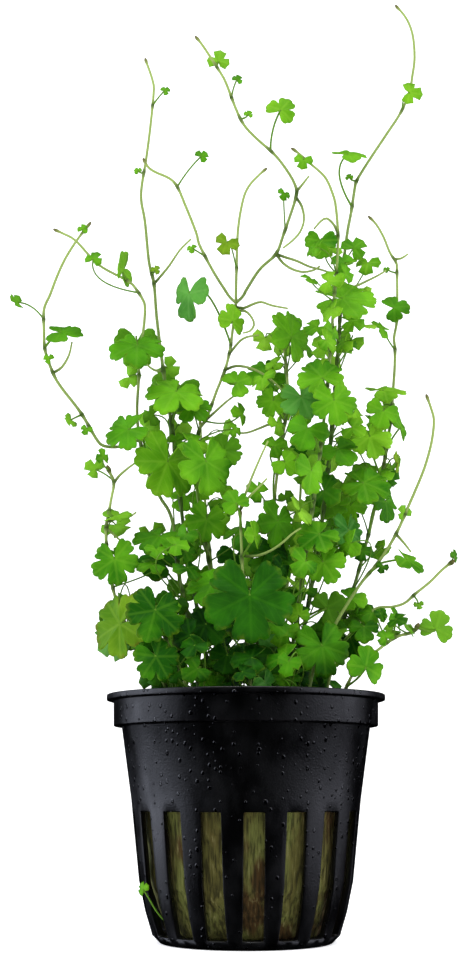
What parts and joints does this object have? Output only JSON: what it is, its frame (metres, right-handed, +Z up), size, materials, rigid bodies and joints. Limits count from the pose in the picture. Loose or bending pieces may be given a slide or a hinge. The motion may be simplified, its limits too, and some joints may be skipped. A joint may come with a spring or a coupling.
{
  "type": "potted aquarium plant",
  "caption": "Bushy small-leaved creeping aquarium plant with arching runners, rooted in a rock wool plug in a slotted black net pot.",
  "frame": {"origin": "middle of the pot's flat underside", "axes": "+Z up along the pot's axis; -Y towards the front that is seen in the picture, +X to its right"},
  "size_m": [0.0936, 0.056, 0.2054],
  "materials": {
    "black_plastic": "moulded, low sheen, wet-speckled",
    "rock_wool": "wet matted mineral fibre, olive brown",
    "stem_green": "smooth pale green herbaceous stem, no bark",
    "leaf_bright": "satin living leaf, bright green",
    "leaf_fresh": "satin living leaf, mid green",
    "leaf_yellow": "satin living leaf, yellow green",
    "leaf_blue": "satin living leaf, bluish green",
    "leaf_dark": "satin living leaf, dark green",
    "leaf_deep": "satin living leaf, deep green"
  },
  "bodies": {
    "root": {"leaf_centre_dark": "leaf_dark", "leaf_centre_fresh": "leaf_fresh", "leaf_centre_left_dark": "leaf_dark", "leaf_centre_lower_dark": "leaf_dark", "leaf_centre_lower_shaded": "leaf_dark", "leaf_centre_round": "leaf_yellow", "leaf_centre_upper": "leaf_yellow", "leaf_front_large": "leaf_dark", "leaf_front_left_dark": "leaf_dark", "leaf_left_deep": "leaf_deep", "leaf_left_hanging": "leaf_blue", "leaf_left_inner": "leaf_bright", "leaf_left_large": "leaf_bright", "leaf_left_low": "leaf_fresh", "leaf_left_low_dark": "leaf_blue", "leaf_left_low_flat": "leaf_dark", "leaf_left_low_shaded": "leaf_deep", "leaf_left_lower": "leaf_fresh", "leaf_left_middle": "leaf_fresh", "leaf_left_middle_dark": "leaf_dark", "leaf_left_upper_dark": "leaf_dark", "leaf_left_wing": "leaf_blue", "leaf_pot_slot": "leaf_bright", "leaf_right_low_trefoil": "leaf_fresh", "leaf_right_lower": "leaf_fresh", "leaf_right_lower_blue": "leaf_blue", "leaf_right_lower_flat": "leaf_fresh", "leaf_right_lower_wide": "leaf_blue", "leaf_right_middle": "leaf_fresh", "leaf_right_middle_left": "leaf_fresh", "leaf_right_middle_pale": "leaf_blue", "leaf_right_outer_bright": "leaf_bright", "leaf_right_outer_flat": "leaf_bright", "leaf_right_upper_wide": "leaf_fresh", "leaf_rim_left_dark": "leaf_blue", "leaf_rim_left_pale": "leaf_yellow", "leaf_rim_right_dark": "leaf_dark", "leaf_rim_right_stalked": "leaf_fresh", "pot": "black_plastic", "rock_wool": "rock_wool", "stem_back_left": "stem_green", "stem_back_right": "stem_green", "stem_centre": "stem_green", "stem_centre_arching": "stem_green", "stem_centre_fork": "stem_green", "stem_centre_upright": "stem_green", "stem_far_left": "stem_green", "stem_front": "stem_green", "stem_left_arching": "stem_green", "stem_left_branch": "stem_green", "stem_left_front": "stem_green", "stem_left_low": "stem_green", "stem_left_tall": "stem_green", "stem_right_arc": "stem_green", "stem_right_front": "stem_green", "stem_right_low": "stem_green", "stem_right_outer": "stem_green", "stem_right_upright": "stem_green", "stem_tallest": "stem_green"}
  },
  "joints": []
}
